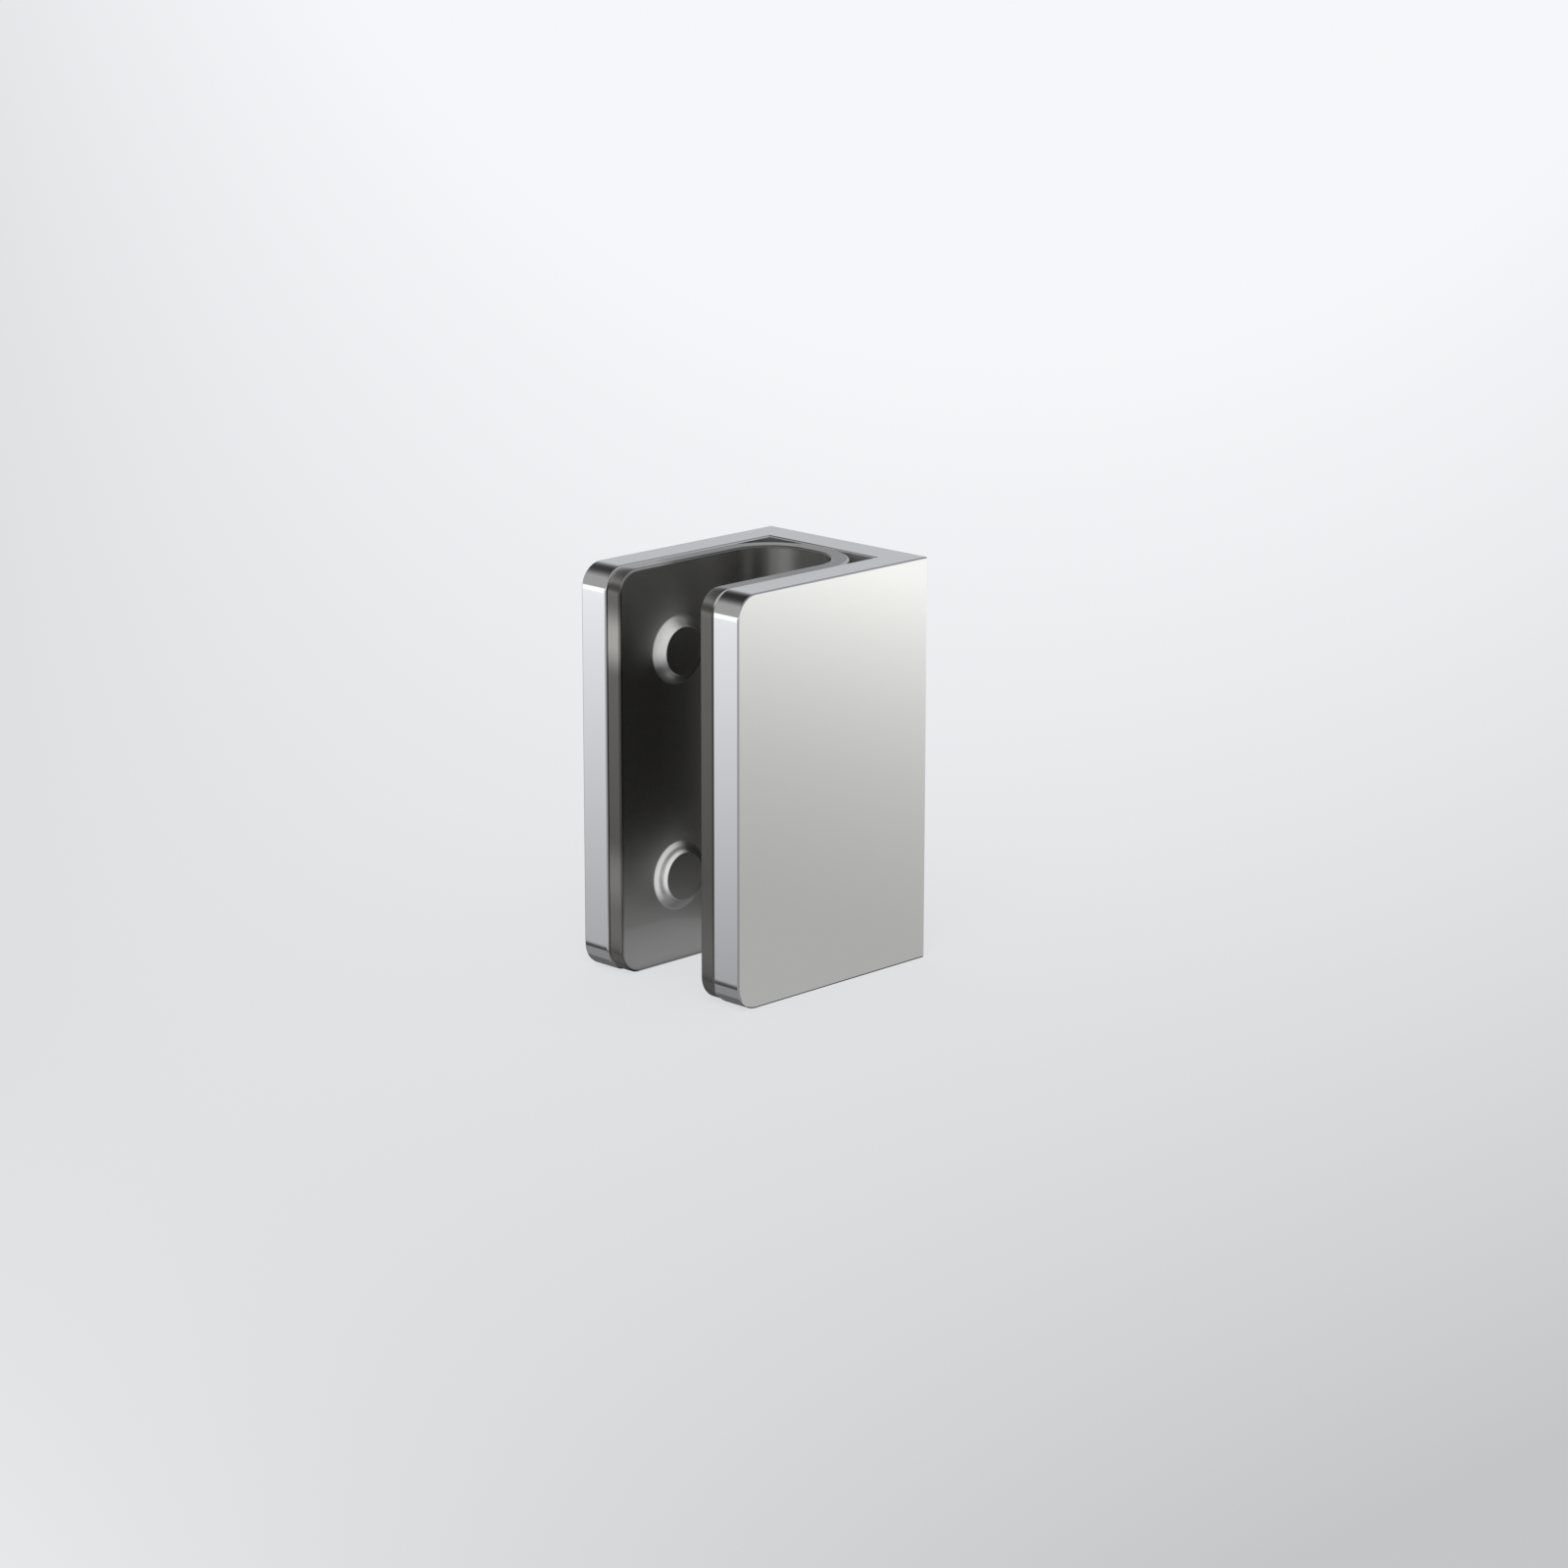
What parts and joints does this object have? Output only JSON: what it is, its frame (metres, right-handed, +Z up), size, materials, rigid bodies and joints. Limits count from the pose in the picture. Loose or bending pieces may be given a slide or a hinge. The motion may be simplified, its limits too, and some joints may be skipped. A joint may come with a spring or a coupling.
{
  "type": "glass u-bracket",
  "caption": "U-shaped wall bracket for a glass panel: a chromed channel with a clear plastic liner, pressure pads and side clamp screws that grip the panel's edge.",
  "frame": {"origin": "middle of the flat face that lies on the wall", "axes": "+Y points out of the back into the wall, the slot opens along -Y, +Z runs up the long side, and the clamp screws are in the arm at the -X side"},
  "size_m": [0.0238, 0.0288, 0.045],
  "materials": {
    "channel_metal": "polished chrome plating",
    "liner_plastic": "smoky clear moulded plastic, glossy",
    "screw_steel": "plain stainless steel"
  },
  "bodies": {
    "bracket": {"channel_body": "channel_metal", "glass_liner": "liner_plastic"},
    "clamp_screw_upper": {"clamp_screw_upper": "screw_steel"},
    "clamp_screw_lower": {"clamp_screw_lower": "screw_steel"}
  },
  "joints": [
    {"name": "upper_screw_travel", "type": "slide", "parent": "bracket", "child": "clamp_screw_upper", "axis": [-1, 0, 0], "range_m": [0, 0.003]},
    {"name": "lower_screw_travel", "type": "slide", "parent": "bracket", "child": "clamp_screw_lower", "axis": [-1, 0, 0], "range_m": [0, 0.003]}
  ]
}
